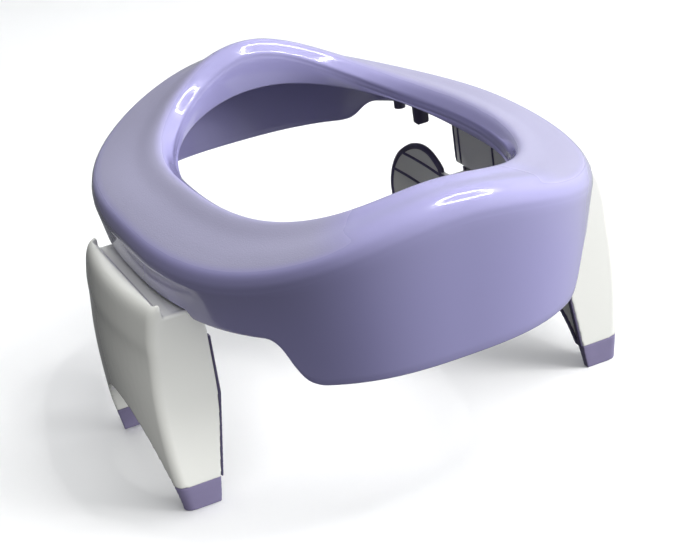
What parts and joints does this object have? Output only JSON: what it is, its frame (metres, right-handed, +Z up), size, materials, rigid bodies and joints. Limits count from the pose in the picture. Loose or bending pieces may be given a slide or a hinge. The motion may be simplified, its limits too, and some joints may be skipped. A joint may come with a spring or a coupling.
{
  "type": "potty training chair",
  "caption": "Folding child's potty seat: a contoured oval ring with raised front and back humps, on two arched fold-in legs with soft feet.",
  "frame": {"origin": "on the floor under the centre of the seat ring", "axes": "+Z up; +X to the right as the low front of the ring is faced; +Y from that front to the high back"},
  "size_m": [0.279, 0.3042, 0.1799],
  "materials": {
    "lilac_seat": "moulded polypropylene, fine matt grain on the seat and gloss below",
    "lilac_rubber": "satin thermoplastic rubber",
    "plum_rubber": "satin thermoplastic rubber",
    "white_shell": "glossy moulded polypropylene",
    "steel": "drawn and zinc plated"
  },
  "bodies": {
    "seat": {"hinge_screws": "steel", "left_back_hinge_bracket": "lilac_seat", "left_back_hinge_pin": "steel", "left_front_hinge_bracket": "lilac_seat", "left_front_hinge_pin": "steel", "left_hinge_cover": "white_shell", "right_back_hinge_bracket": "lilac_seat", "right_back_hinge_pin": "steel", "right_front_hinge_bracket": "lilac_seat", "right_front_hinge_pin": "steel", "right_hinge_cover": "white_shell", "seat_ring": "lilac_seat"},
    "left_leg": {"left_leg_shell": "white_shell", "left_front_foot_tip": "lilac_rubber", "left_back_foot_tip": "lilac_rubber", "left_leg_grip": "plum_rubber", "left_guide_panel": "white_shell"},
    "right_leg": {"right_leg_shell": "white_shell", "right_front_foot_tip": "lilac_rubber", "right_back_foot_tip": "lilac_rubber", "right_leg_grip": "plum_rubber", "right_guide_panel": "white_shell"}
  },
  "joints": [
    {"name": "left_leg_fold", "type": "hinge", "parent": "seat", "child": "left_leg", "pos_m": [-0.1025, -0.01, 0.1015], "axis": [0, -1, 0], "range_deg": [0, 88]},
    {"name": "right_leg_fold", "type": "hinge", "parent": "seat", "child": "right_leg", "pos_m": [0.1025, -0.01, 0.1015], "axis": [0, 1, 0], "range_deg": [0, 88]}
  ]
}
